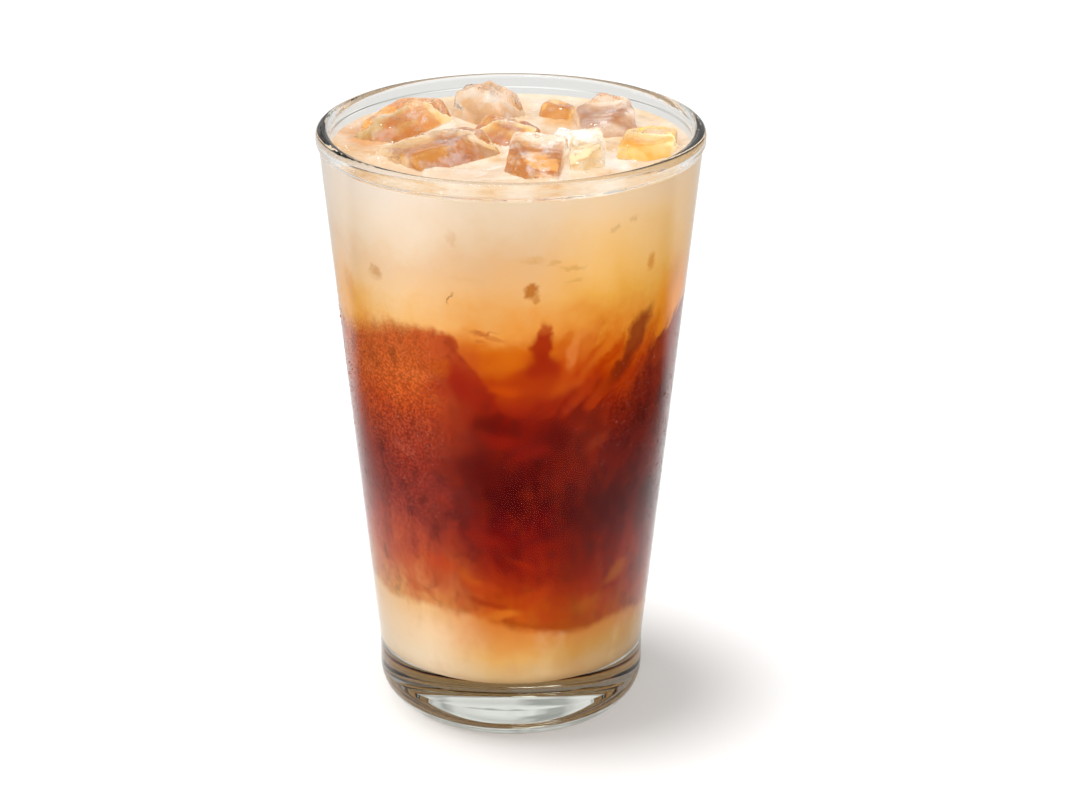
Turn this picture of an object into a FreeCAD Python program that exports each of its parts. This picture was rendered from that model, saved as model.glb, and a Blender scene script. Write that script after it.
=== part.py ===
"""Thai iced tea in a tapered mixing glass: sweet milk, red tea and a cream cap, with melting ice on top.

Frame: +Z up, origin at the centre of the glass's foot, on the surface that it stands on. Millimetres.
"""
import FreeCAD
import Part
import math
import os

Vector = FreeCAD.Vector
ORIGIN = Vector(0, 0, 0)
UP = Vector(0, 0, 1)
OFFSET_TOLERANCE = 0.0001
ROUND_JOIN = 0

# Glass
GLASS_HEIGHT = 142.0
RIM_OUTER_RADIUS = 44.5
FOOT_RADIUS = 31.2
FOOT_BAND_TOP = 16.3
FOOT_BAND_BLEND = 60.0
HEEL_ROUND = 9.6
STAND_RING_WIDTH = 3.4
PUNT_RISE = 1.8
PUNT_EDGE_ROUND = 0.8
WALL_AT_RIM = 2.7
WALL_AT_FOOT = 3.2
FLOOR_THICKNESS = 15.0
FLOOR_ROUND = 4.2

# Fire-polished bead at the lip
BEAD_THICKNESS = 3.0
BEAD_HEIGHT = 3.9
BEAD_STEP = 0.9
BEAD_NECK_ROUND = 1.2

# Drink
FILL_GAP = 5.0
MENISCUS_RISE = 0.5
MENISCUS_WIDTH = 1.6
CREAM_DEPTH = 33.5
MILK_DEPTH = 18.4

# Where two layers meet: a gentle swell, the cream's tongue and the tea's dip beside the wall
SWELL = 1.1
SWELL_PITCH = 62.0
TONGUE_LENGTH = 17.5
TONGUE_HALF_WIDTH = 18.0
TONGUE_BEARING = 286.0
TONGUE_REACH = 17.0
DIP_DEPTH = 5.0
DIP_HALF_WIDTH = 20.0
DIP_BEARING = 300.0
DIP_REACH = 15.0
SEAM_GRID = 15
SEAM_OVERHANG = 4.0

# Ice: the sizes and places below are for this radius of free mouth, and follow the glass's real one
ICE_WALL_GAP = 1.3
ICE_LAYOUT_RADIUS = 40.0
ICE_MELT_ROUND = 1.3
ICE_DISH_DEPTH = 0.7
ICE_DISH_SHARE = 0.8

# Name: size along its own X, Y and Z; place of its centre, from the glass's axis and the drink's level;
# turn about Z and lean about X and Y in degrees; corners and edges melted away, as a side and a depth
ICE = {
    "ice_tall": {
        "size": (14.0, 13.5, 26.0),
        "place": (-4.6, 24.8, -4.9),
        "turn": 34.0,
        "lean": (-17.0, -11.0),
        "melted": [((1, 0, 1), 3.4), ((-1, -1, 1), 3.0), ((1, 1, -1), 4.0), ((-1, 1, 1), 4.2)],
    },
    "ice_long": {
        "size": (25.0, 11.5, 14.0),
        "place": (-25.4, 13.4, -2.4),
        "turn": 57.0,
        "lean": (9.0, -6.0),
        "melted": [((-1, 0, 1), 2.6), ((1, 1, 1), 3.2), ((0, -1, 1), 1.8), ((-1, -1, -1), 3.6)],
    },
    "ice_broad": {
        "size": (22.5, 18.5, 15.5),
        "place": (-16.1, -7.4, -3.8),
        "turn": 42.0,
        "lean": (-7.0, -4.0),
        "melted": [((1, 1, 1), 3.6), ((0, -1, 1), 2.6), ((-1, -1, -1), 5.0), ((1, -1, 1), 2.4)],
    },
    "ice_front": {
        "size": (22.6, 12.6, 16.5),
        "place": (5.5, -13.4, -3.2),
        "turn": 83.0,
        "lean": (4.0, -11.0),
        "melted": [((-1, 1, 1), 3.4), ((1, 0, 1), 3.0), ((-1, -1, -1), 3.2)],
    },
    "ice_middle": {
        "size": (11.6, 12.2, 15.0),
        "place": (-1.8, 6.9, -3.6),
        "turn": 42.0,
        "lean": (8.0, 6.0),
        "melted": [((1, 1, 1), 2.8), ((-1, 0, 1), 1.8), ((1, -1, -1), 3.0)],
    },
    "ice_clear": {
        "size": (18.6, 13.4, 17.0),
        "place": (22.4, 15.8, -3.0),
        "turn": 97.0,
        "lean": (-6.0, -7.0),
        "melted": [((1, 1, 1), 3.8), ((1, -1, 1), 3.0), ((-1, -1, 1), 2.6), ((-1, 1, -1), 4.0)],
    },
    "ice_amber": {
        "size": (11.6, 14.0, 13.5),
        "place": (30.9, -4.6, -2.3),
        "turn": -14.0,
        "lean": (7.0, 6.0),
        "melted": [((1, -1, 1), 3.2), ((-1, 1, 1), 2.4), ((1, 1, -1), 3.4)],
    },
    "ice_small": {
        "size": (12.0, 7.4, 9.5),
        "place": (10.6, 26.4, -2.2),
        "turn": 78.0,
        "lean": (8.0, 10.0),
        "melted": [((-1, 1, 1), 2.0), ((1, -1, 1), 1.8)],
    },
    "ice_sliver": {
        "size": (22.0, 7.6, 14.0),
        "place": (18.0, -7.6, -2.8),
        "turn": 88.0,
        "lean": (-9.0, -8.0),
        "melted": [((1, 0, 1), 2.4), ((-1, -1, 1), 2.6)],
    },
}


def level():
    """Height of the drink's surface."""
    return GLASS_HEIGHT - FILL_GAP


def outer_radius(z):
    """Radius of the tapered outer wall at a height, without the lip's bead."""
    lip_radius = RIM_OUTER_RADIUS - (BEAD_THICKNESS - WALL_AT_RIM)
    share = (z - FOOT_BAND_TOP) / (GLASS_HEIGHT - FOOT_BAND_TOP)
    return FOOT_RADIUS + (lip_radius - FOOT_RADIUS) * share


def inner_radius(z):
    """Radius of the tapered inner wall at a height."""
    share = (z - FLOOR_THICKNESS) / (GLASS_HEIGHT - FLOOR_THICKNESS)
    wall = WALL_AT_FOOT + (WALL_AT_RIM - WALL_AT_FOOT) * share
    return outer_radius(z) - wall


def section_point(radius, z):
    """Point of a half section, which lies in the XZ plane."""
    return Vector(radius, 0, z)


def rounded_edges(corners):
    """Edges of an open outline through (radius, z, rounding) corners, with an arc at each rounded one."""
    points = [section_point(radius, z) for radius, z, _ in corners]
    edges = []
    start = points[0]
    for index in range(1, len(corners) - 1):
        corner = points[index]
        rounding = corners[index][2]
        back = (points[index - 1] - corner).normalize()
        ahead = (points[index + 1] - corner).normalize()
        half_angle = back.getAngle(ahead) / 2
        reach = rounding / math.tan(half_angle)
        bisector = (back + ahead).normalize()
        centre = corner + bisector * (rounding / math.sin(half_angle))
        arc_start = corner + back * reach
        arc_end = corner + ahead * reach
        edges.append(Part.makeLine(start, arc_start))
        edges.append(Part.Arc(arc_start, centre - bisector * rounding, arc_end).toShape())
        start = arc_end
    edges.append(Part.makeLine(start, points[-1]))
    return edges


def revolved(edges):
    """Solid turned about Z from the edges of a closed half section."""
    face = Part.Face(Part.Wire(edges))
    solid = face.revolve(ORIGIN, UP, 360)
    if solid.Volume < 0:
        solid.reverse()
    return solid


def punt_edge(ring_radius):
    """Shallow dome under the foot, from the axis down to the standing ring."""
    dome_radius = (ring_radius ** 2 + PUNT_RISE ** 2) / (2 * PUNT_RISE)
    half_turn = math.asin(ring_radius / dome_radius) / 2
    middle = section_point(
        dome_radius * math.sin(half_turn),
        PUNT_RISE - dome_radius * (1 - math.cos(half_turn)),
    )
    arc = Part.Arc(section_point(0, PUNT_RISE), middle, section_point(ring_radius, 0))
    return arc.toShape()


def glass():
    """Pressed glass: domed foot, round heel, short upright band, tapered wall and beaded lip."""
    ring_outer = FOOT_RADIUS - HEEL_ROUND
    ring_inner = ring_outer - STAND_RING_WIDTH
    bead_bottom = GLASS_HEIGHT - BEAD_HEIGHT
    bead_round = BEAD_THICKNESS * 0.49
    lip_inner = RIM_OUTER_RADIUS - BEAD_THICKNESS
    outline = [
        (ring_inner, 0, 0),
        (FOOT_RADIUS, 0, HEEL_ROUND),
        (FOOT_RADIUS, FOOT_BAND_TOP, FOOT_BAND_BLEND),
        (outer_radius(bead_bottom), bead_bottom, BEAD_NECK_ROUND),
        (RIM_OUTER_RADIUS, bead_bottom + BEAD_STEP, BEAD_NECK_ROUND),
        (RIM_OUTER_RADIUS, GLASS_HEIGHT, bead_round),
        (lip_inner, GLASS_HEIGHT, bead_round),
        (inner_radius(FLOOR_THICKNESS), FLOOR_THICKNESS, FLOOR_ROUND),
        (0, FLOOR_THICKNESS, 0),
    ]
    edges = [punt_edge(ring_inner)]
    edges += rounded_edges(outline)
    edges.append(Part.makeLine(section_point(0, FLOOR_THICKNESS), section_point(0, PUNT_RISE)))
    solid = revolved(edges)
    ring_edges = [
        edge for edge in solid.Edges
        if abs(edge.BoundBox.XMax - ring_inner) < 0.01 and edge.BoundBox.ZMax < 0.01
    ]
    return solid.makeFillet(PUNT_EDGE_ROUND, ring_edges)


def whole_drink():
    """Drink with no ice in it: it fills the glass up to its level and climbs the wall a little."""
    surface = level()
    climb = surface + MENISCUS_RISE
    floor_corner = (inner_radius(FLOOR_THICKNESS), FLOOR_THICKNESS, FLOOR_ROUND)
    inside = [(0, FLOOR_THICKNESS, 0), floor_corner, (inner_radius(climb), climb, 0)]
    flat_edge = section_point(inner_radius(surface) - MENISCUS_WIDTH, surface)
    sag = section_point(inner_radius(surface) - MENISCUS_WIDTH / 2, surface + MENISCUS_RISE * 0.22)
    top = section_point(0, surface)
    edges = rounded_edges(inside)
    edges.append(Part.Arc(section_point(inner_radius(climb), climb), sag, flat_edge).toShape())
    edges.append(Part.makeLine(flat_edge, top))
    edges.append(Part.makeLine(top, section_point(0, FLOOR_THICKNESS)))
    return revolved(edges)


def beside_wall(x, y, z, bearing, half_width, reach):
    """1 at the inner wall in a compass bearing, fading to 0 along the wall and towards the axis."""
    angle = math.radians(bearing)
    outward = x * math.cos(angle) + y * math.sin(angle)
    along = y * math.cos(angle) - x * math.sin(angle)
    inward = max(inner_radius(z) - outward, 0)
    return math.exp(-abs(along / half_width) ** 3 - (inward / reach) ** 2)


def swell(x, y):
    """Slow waves that two liquids keep where they have just met."""
    turn = 2 * math.pi / SWELL_PITCH
    return SWELL * (math.sin(turn * x + 0.9) + math.cos(turn * (y - 0.4 * x)))


def cream_floor(x, y):
    """Height where the cream meets the tea, with the tongue that sinks beside the wall."""
    rest = level() - CREAM_DEPTH
    tongue = beside_wall(x, y, rest, TONGUE_BEARING, TONGUE_HALF_WIDTH, TONGUE_REACH)
    return rest + swell(x, y) - TONGUE_LENGTH * tongue


def milk_top(x, y):
    """Height where the tea meets the sweet milk, with the dip where the tea sinks beside the wall."""
    rest = FLOOR_THICKNESS + MILK_DEPTH
    dip = beside_wall(x, y, rest, DIP_BEARING, DIP_HALF_WIDTH, DIP_REACH)
    return rest + swell(-y, x) - DIP_DEPTH * dip


def above_seam(height_at):
    """Everything above a wavy seam, which is one smooth surface through a grid of heights."""
    half = RIM_OUTER_RADIUS + SEAM_OVERHANG
    step = 2 * half / (SEAM_GRID - 1)
    rows = []
    for column in range(SEAM_GRID):
        x = -half + column * step
        ys = [-half + row * step for row in range(SEAM_GRID)]
        rows.append([Vector(x, y, height_at(x, y)) for y in ys])
    surface = Part.BSplineSurface()
    surface.interpolate(rows)
    return surface.toShape().extrude(UP * (2 * GLASS_HEIGHT))


def without_corner(block, size, side, depth):
    """Block with one corner or edge melted off square to the direction of its side."""
    point = Vector(side[0] * size[0] / 2, side[1] * size[1] / 2, side[2] * size[2] / 2)
    direction = Vector(*side).normalize()
    span = 4 * max(size)
    cutter = Part.makeBox(span, span, span, Vector(-span / 2, -span / 2, 0))
    cutter.Placement = FreeCAD.Placement(point - direction * depth, FreeCAD.Rotation(UP, direction))
    return block.cut(cutter)


def melted_block(size, melted, scale):
    """Ice block: corners melted off, every edge rounded, and a shallow dish melted into its top."""
    rounding = ICE_MELT_ROUND * scale
    core_size = [length - 2 * rounding for length in size]
    core = Part.makeBox(*core_size, Vector(*core_size) * -0.5)
    for side, depth in melted:
        core = without_corner(core, core_size, side, depth * scale)
    block = core.makeOffsetShape(rounding, OFFSET_TOLERANCE, join=ROUND_JOIN)
    dish_depth = ICE_DISH_DEPTH * scale
    dish_half = ICE_DISH_SHARE * min(size[0], size[1]) / 2
    dish_radius = (dish_half ** 2 + dish_depth ** 2) / (2 * dish_depth)
    centre = Vector(0, 0, size[2] / 2 + dish_radius - dish_depth)
    return block.cut(Part.makeSphere(dish_radius, centre))


def ice_piece(row):
    """Ice block in its place in the mouth of the glass."""
    scale = (inner_radius(level()) - ICE_WALL_GAP) / ICE_LAYOUT_RADIUS
    size = [length * scale for length in row["size"]]
    block = melted_block(size, row["melted"], scale)
    x, y, z = [distance * scale for distance in row["place"]]
    lean_x, lean_y = row["lean"]
    turning = FreeCAD.Rotation(UP, row["turn"])
    leaning = FreeCAD.Rotation(Vector(1, 0, 0), lean_x) * FreeCAD.Rotation(Vector(0, 1, 0), lean_y)
    block.Placement = FreeCAD.Placement(Vector(x, y, level() + z), turning * leaning)
    return block


def single_solid(shape):
    """The one solid that a cut leaves, cleaned of leftover seams."""
    solids = sorted(shape.Solids, key=lambda solid: solid.Volume)
    return solids[-1].removeSplitter()


def drink_layers(ice):
    """Sweet milk, tea and cream, which share their seams and close round the ice."""
    drink = whole_drink()
    above_milk = above_seam(milk_top)
    above_tea = above_seam(cream_floor)
    layers = {
        "sweet_milk": drink.cut(above_milk),
        "red_tea": drink.common(above_milk).cut(above_tea),
        "cream": drink.common(above_tea),
    }
    for name, layer in layers.items():
        for piece in ice.values():
            layer = layer.cut(piece)
        layers[name] = single_solid(layer)
    return layers


def main():
    ice = {name: ice_piece(row) for name, row in ICE.items()}
    nodes = {"glass": glass()}
    nodes.update(drink_layers(ice))
    nodes.update(ice)
    os.makedirs("parts", exist_ok=True)
    for name, shape in nodes.items():
        shape.exportStep(f"parts/{name}.step")


main()
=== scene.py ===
"""Looks of a thai iced tea in its mixing glass: marbled drink, melting ice, condensation, studio light."""
import math
import random

import bmesh
import bpy
from mathutils import Euler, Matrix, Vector, noise
from mathutils.bvhtree import BVHTree


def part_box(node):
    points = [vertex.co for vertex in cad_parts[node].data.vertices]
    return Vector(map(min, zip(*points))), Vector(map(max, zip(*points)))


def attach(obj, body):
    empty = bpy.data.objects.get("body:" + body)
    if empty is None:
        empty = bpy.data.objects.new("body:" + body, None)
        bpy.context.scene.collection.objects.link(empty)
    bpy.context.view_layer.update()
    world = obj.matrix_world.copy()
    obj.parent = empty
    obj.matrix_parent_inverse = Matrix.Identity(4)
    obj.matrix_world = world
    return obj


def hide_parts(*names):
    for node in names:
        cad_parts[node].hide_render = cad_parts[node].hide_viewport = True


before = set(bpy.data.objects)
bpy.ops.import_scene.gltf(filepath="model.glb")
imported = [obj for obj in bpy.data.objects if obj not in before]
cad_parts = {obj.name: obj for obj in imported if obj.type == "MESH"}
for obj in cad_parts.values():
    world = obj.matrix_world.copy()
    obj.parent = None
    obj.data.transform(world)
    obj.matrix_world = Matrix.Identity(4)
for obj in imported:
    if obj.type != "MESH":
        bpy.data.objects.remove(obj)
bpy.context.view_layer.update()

MM = 0.001
SEED = 7
ICE_NAMES = [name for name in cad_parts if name.startswith("ice_")]

# Meniscus, the drink's level and floor, which come from the frame, and the rounding at its floor
MENISCUS_RISE = 0.5 * MM
MENISCUS_WIDTH = 1.6 * MM
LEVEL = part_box("cream")[1][2] - MENISCUS_RISE
FLOOR_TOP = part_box("sweet_milk")[0][2]
FLOOR_ROUND = 4.2 * MM

# How far a piece reaches into its neighbour, so that no air gap shows
INTO_WALL = 0.20 * MM
INTO_DRINK = 0.12 * MM

# Drink's mesh, with the degrees of one step at its rounded foot, how high and how far it creeps at the
# ice, and the waves on it
ROUND_STEPS = 256
WALL_STEPS = 64
TOP_STEPS = 52
FLOOR_STEPS = 6
HEEL_STEPS = 8
HEEL_TURN = 10
ICE_CREEP = 0.55 * MM
ICE_CREEP_REACH = 0.8 * MM
WAVE_HEIGHT = 0.15 * MM
WAVES_A_METRE = 120

# Ice: grain of its mesh, its dents as (depth in mm, dents a millimetre), and how far over the level it
# starts to be free of the drink and over what height that happens
ICE_GRAIN = 0.45 * MM
BROAD_DENTS = (0.30, 0.24)
FINE_DENTS = (0.12, 0.6)
FREE_FROM = 0.5 * MM
FREE_OVER = 1.5 * MM

# Sunken ice: share of its size that its planed edges take, and its dents (depth in mm, dents a metre)
SUNK_EDGE = 0.16
SUNK_DENTS = (0.35, 300)

# Condensation: drops in all, heights in mm, least radius and how much more in mm, share of large drops
# and how much larger they are, and the share of stray drops where there is no haze
DROPLETS = 6500
DROP_HEIGHTS = (22, 131)
DROP_RADIUS = 0.09
DROP_SPREAD = 0.13
LARGE_DROPS = 0.02
LARGE_DROP = 1.9
STRAY_DROPS = 0.035

# Milk bubbles: how many, their radii in mm, and how close to the ice and the wall they gather
BUBBLES = 80
BUBBLE_RADII = (0.14, 0.32)
CLEAR_OF_WALL = 1.2 * MM
CLEAR_OF_ICE = 0.6 * MM
NEAR_ICE = 2.2 * MM
NEAR_WALL = 4 * MM

# Camera
CAMERA_PLACE = (0.0, -0.7965, 0.3834)
CAMERA_PITCH = math.radians(21.16)
CAMERA_LENS = 123.1
CAMERA_SHIFT = 0.02108716

# Suns: direction towards them, strength, and width in degrees
SUNS = {
    "key": ((-0.13, -0.02, 1.0), 2.2, 16),
    "fill": ((0.05, -1.0, 0.33), 1.95, 60),
}

# Surroundings that gloss and glass pick up, as (share of the way from straight down to straight up,
# brightness), their tint, how patchy they are, and the plain light that reaches everything else
SKY_STOPS = [
    (0.0, 1.0), (0.515, 1.0), (0.53, 0.42), (0.545, 0.46),
    (0.57, 0.7), (0.68, 0.7), (0.76, 0.95), (1.0, 1.0)]
SKY_TINT = (1.0, 0.99, 0.96)
SKY_PATCHES = (0.62, 1.12)
SKY_LIGHT = 0.30

# Table: half its width in metres, its colour, its glow and the share of that in gloss and glass, and the
# colour and the strengths of the dark cards that gloss and glass see on it
TABLE_HALF = 3.0
TABLE_COLOUR = (0.84, 0.83, 0.82, 1)
TABLE_GLOW = 0.16
GLOW_IN_GLASS = 0.3
CARD_COLOUR = (0.02, 0.02, 0.01, 1)
SIDE_CARD = 0.94
BACK_CARD = 0.24

# Arm that turns a bearing on the drink's wall into a distance along it, in millimetres
WALL_ARM = 36.0


def linear(code):
    """Linear colour of a hexadecimal display colour."""
    values = [int(code[i:i + 2], 16) / 255 for i in (0, 2, 4)]
    return [v / 12.92 if v <= 0.04045 else ((v + 0.055) / 1.055) ** 2.4 for v in values] + [1.0]


class Graph:
    """Short calls for building one material's or world's nodes. Lengths in it are millimetres."""

    def __init__(self, name, owners=None, output="ShaderNodeOutputMaterial"):
        self.owner = (bpy.data.materials if owners is None else owners).new(name)
        self.owner.use_nodes = True
        self.tree = self.owner.node_tree
        self.tree.nodes.clear()
        self.output = self.add(output)
        self.places = None

    def add(self, kind, **settings):
        """New node of a kind, with its settings."""
        node = self.tree.nodes.new(kind)
        for key, value in settings.items():
            setattr(node, key, value)
        return node

    def feed(self, socket, value):
        """Links a socket to another, or sets its value."""
        if isinstance(value, bpy.types.NodeSocket):
            self.tree.links.new(value, socket)
        elif value is not None:
            socket.default_value = value

    def math(self, operation, *values):
        """Result of a sum over one to three numbers."""
        node = self.add("ShaderNodeMath", operation=operation)
        for socket, value in zip(node.inputs, values):
            self.feed(socket, value)
        return node.outputs[0]

    def vector(self, operation, *values):
        """Result of a sum over vectors: a number for a length or a dot product, else a vector."""
        node = self.add("ShaderNodeVectorMath", operation=operation)
        for socket, value in zip(node.inputs, values):
            self.feed(socket, value)
        return node.outputs[1 if operation in ("LENGTH", "DOT_PRODUCT") else 0]

    def place(self):
        """Place on the object in millimetres, as a vector."""
        if self.places is None:
            scaled = self.add("ShaderNodeVectorMath", operation="SCALE")
            self.feed(scaled.inputs[0], self.add("ShaderNodeTexCoord").outputs["Object"])
            self.feed(scaled.inputs["Scale"], 1.0 / MM)
            self.places = scaled.outputs[0]
        return self.places

    def axes(self, vector):
        """The three numbers in a vector."""
        node = self.add("ShaderNodeSeparateXYZ")
        self.feed(node.inputs[0], vector)
        return node.outputs

    def pair(self, first, second):
        """Vector of two numbers and a zero."""
        node = self.add("ShaderNodeCombineXYZ")
        self.feed(node.inputs[0], first)
        self.feed(node.inputs[1], second)
        return node.outputs[0]

    def noise(self, size, detail=3.0, rough=0.5, stretch=None, seed=0.0, colour=False, vector=None):
        """Noise whose lumps are about size millimetres, from 0 to 1."""
        vector = vector or self.place()
        if stretch:
            vector = self.vector("MULTIPLY", vector, stretch)
        node = self.add("ShaderNodeTexNoise", noise_dimensions="4D")
        self.feed(node.inputs["Vector"], vector)
        self.feed(node.inputs["W"], seed)
        self.feed(node.inputs["Scale"], 1.0 / size)
        self.feed(node.inputs["Detail"], detail)
        self.feed(node.inputs["Roughness"], rough)
        return node.outputs["Color" if colour else "Fac"]

    def swing(self, value, amount):
        """Turns a 0 to 1 value into one from -amount to amount."""
        return self.math("MULTIPLY_ADD", value, 2.0 * amount, -amount)

    def spread(self, value, low, high, least=0.0, most=1.0, kind="LINEAR"):
        """Value from low to high, kept within them and turned into one from least to most."""
        node = self.add("ShaderNodeMapRange", interpolation_type=kind)
        self.feed(node.inputs["Value"], value)
        self.feed(node.inputs["From Min"], low)
        self.feed(node.inputs["From Max"], high)
        self.feed(node.inputs["To Min"], least)
        self.feed(node.inputs["To Max"], most)
        return node.outputs[0]

    def step(self, value, low, high, most=1.0):
        """0 at low and before it, most at high and past it, and smooth between them."""
        return self.spread(value, low, high, most=most, kind="SMOOTHSTEP")

    def stops(self, value, stops, kind="LINEAR"):
        """Colour along stops of (value, colour), lowest first."""
        low, high = stops[0][0], stops[-1][0]
        node = self.add("ShaderNodeValToRGB")
        node.color_ramp.interpolation = kind
        elements = node.color_ramp.elements
        while len(elements) < len(stops):
            elements.new(0.5)
        for element, (at, colour) in zip(elements, stops):
            element.position = (at - low) / (high - low)
            element.color = colour
        self.feed(node.inputs[0], self.spread(value, low, high))
        return node.outputs[0]

    def ramp(self, value, stops):
        """Colour along stops of (value, code), lowest first."""
        return self.stops(value, [(at, linear(code)) for at, code in stops])

    def outline(self, value, points):
        """Smooth line through (value, result) points, lowest value first."""
        least = min(result for _, result in points)
        most = max(result for _, result in points)
        shares = [(at, [(result - least) / (most - least)] * 3 + [1.0]) for at, result in points]
        return self.math("MULTIPLY_ADD", self.stops(value, shares, "CARDINAL"), most - least, least)

    def blend(self, share, first, second, kind="MIX"):
        """First colour, with a share of the second blended in."""
        node = self.add("ShaderNodeMix", data_type="RGBA", blend_type=kind)
        self.feed(node.inputs["Factor"], share)
        self.feed(node.inputs[6], first)
        self.feed(node.inputs[7], second)
        return node.outputs[2]

    def principled(self, **values):
        """Principled shader, whose sockets are named with underscores for spaces."""
        node = self.add("ShaderNodeBsdfPrincipled")
        for key, value in values.items():
            self.feed(node.inputs[key.replace("_", " ")], value)
        return node.outputs[0]

    def mixed(self, share, first, second):
        """First shader, with a share of the second mixed in."""
        node = self.add("ShaderNodeMixShader")
        for socket, value in zip(node.inputs, (share, first, second)):
            self.feed(socket, value)
        return node.outputs[0]

    def bump(self, height, distance, strength=1.0):
        """Normal that a height in the texture gives, over a distance in metres."""
        node = self.add("ShaderNodeBump")
        self.feed(node.inputs["Strength"], strength)
        self.feed(node.inputs["Distance"], distance)
        self.feed(node.inputs["Height"], height)
        return node.outputs[0]

    def finish(self, shader):
        """Puts the shader on the surface, and gives the material or world."""
        self.feed(self.output.inputs["Surface"], shader)
        return self.owner


# Colours by height in mm, at the left, in the middle and at the right of the front. The left ones are paler
# from the haze of condensation and from painted light from the left; the right ones hold painted shade.
CREAM_LEFT_LIT_HAZY = [
    (92, "B8481C"), (97, "CE6C30"), (101, "E18A48"), (104, "F0A456"), (108, "FAC17A"), (113, "FBCE98"),
    (119, "F6CEA4"), (125, "FADFC1"), (131, "FCE5CC"), (137, "FBE8D6")]
CREAM_MIDDLE = [
    (83, "6E0C02"), (87, "9E2406"), (91, "A63202"), (95, "B23C02"), (98.5, "BC4602"), (102.5, "CC640A"),
    (107, "E29340"), (111, "E3A25A"), (116, "E3AD72"), (122, "DEAF7E"), (128, "DEBA92"), (137, "E4CAAC")]
CREAM_RIGHT_SHADED = [
    (83, "6A1002"), (87, "801A03"), (91, "A42E03"), (95, "B03A02"), (99, "BC4A06"), (103.5, "C86210"),
    (108, "DD8B30"), (113, "E6A548"), (119, "EDB463"), (125, "EEBE7C"), (131, "EEC48E"), (137, "EBC9A2")]
TEA_LEFT_LIT_HAZY = [
    (32, "DE9A56"), (36, "D98A4C"), (40, "D27642"), (45, "C4582A"), (50, "B64628"), (57, "9A3526"),
    (64, "8A2C20"), (71, "922F20"), (78, "A84026"), (85, "BE4C22"), (92, "CA5C26"), (104, "C8602E")]
TEA_MIDDLE = [
    (31, "C86418"), (36, "B64402"), (41, "9A2803"), (47, "821202"), (54, "6E0402"), (60, "5C0203"),
    (66, "4C0303"), (72, "580503"), (79, "6A0803"), (86, "7C1004"), (94, "9C2006"), (104, "B43C0E")]
TEA_RIGHT_SHADED = [
    (31, "A04406"), (36, "983604"), (41, "8C2603"), (46, "761604"), (52, "5E0C03"), (59, "4E0904"),
    (66, "5A0E06"), (74, "6C1406"), (82, "681608"), (90, "82220C"), (98, "9C360C"), (104, "A2400E")]
MILK_LEFT_LIT_HAZY = [(14, "E2C8A8"), (20, "F2D8B6"), (26, "F8D4AA"), (32, "F5C48C"), (38, "EBA868")]
MILK_MIDDLE = [(14, "C49E72"), (18, "D0AA76"), (22, "DBA45C"), (26, "D78E44"), (30, "D27C34"), (36, "CA6C1E")]
MILK_RIGHT_SHADED = [(14, "BC966A"), (19, "C29A68"), (23, "C28E48"), (27, "C37E3A"), (31, "BA6C28"), (36, "AC5818")]

# Lower edge of the cream and upper edge of the milk, and how soft they are, by bearing in degrees
CREAM_EDGE = [
    (-180, 102), (-125, 107), (-76, 99.5), (-60, 101.5), (-40, 104.6), (-23, 104.6), (-17, 101.0),
    (-11, 95.0), (-4, 88.5), (2, 85.5), (15, 84.5), (30, 84.5), (42, 88), (54, 96), (66, 101.5),
    (110, 105), (145, 96), (180, 102)]
CREAM_SOFTNESS = [
    (-180, 1.6), (-76, 3.6), (-44, 2.8), (-30, 1.7), (-21, 0.9), (-8, 0.8), (4, 2.8), (30, 3.4),
    (52, 2.2), (180, 1.4)]
MILK_EDGE = [
    (-180, 33), (-130, 36), (-77, 34), (-52, 33.6), (-27, 34.6), (-3, 31.8), (15, 29.4), (32, 28.6),
    (53, 29.4), (76, 27.6), (120, 32), (180, 33)]

# Swirls in the drink beside the wall: bearing from the front in degrees, height in mm, half width along
# the wall and half height in mm, lean in degrees, softness of the edge, strength, colour
TONGUE_SWIRLS = [
    (11.2, 105.4, 1.2, 2.6, -8, 0.5, 0.85, "AC3808"),
    (10.6, 101.6, 2.7, 4.0, -4, 0.5, 0.95, "9C2404"),
    (9.4, 97.0, 4.6, 3.6, 4, 0.6, 0.95, "982204"),
    (7.5, 93.0, 5.4, 2.6, 4, 0.8, 0.8, "A83204"),
    (12, 88, 5.0, 3.0, 0, 0.9, 0.5, "8A1A03"),
    (47, 101.5, 2.9, 7.4, -32, 0.6, 0.9, "8A3610"),
    (41, 94.5, 2.4, 5.4, -38, 0.7, 0.85, "7A2408"),
    (35, 90, 4.0, 2.6, 30, 0.8, 0.6, "8E2A06"),
    (31, 99, 1.3, 6.4, -36, 0.8, 0.5, "D06A18"),
    (22, 101, 1.3, 5.6, -22, 0.6, 0.7, "D87A34"),
    (27, 103, 1.6, 4.4, -26, 0.8, 0.5, "CC6820"),
    (36, 103.5, 2.0, 4.4, -34, 0.8, 0.6, "D6721E"),
    (-3, 98, 5.5, 2.6, 14, 0.9, 0.4, "E07A10"),
    (-8, 104.6, 4.0, 0.8, -14, 0.6, 0.6, "C46A2A"),
    (20, 92, 6.0, 1.8, 24, 0.9, 0.5, "C85208"),
    (-2, 91.5, 5.0, 1.6, -8, 0.8, 0.5, "CC4A04"),
    (128, 101, 2.4, 6.0, -20, 0.6, 0.8, "A43606"),
    (150, 100, 2.0, 7.0, 24, 0.7, 0.7, "8E2606"),
    (200, 104, 2.2, 5.0, -30, 0.7, 0.6, "B85414"),
]
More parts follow.
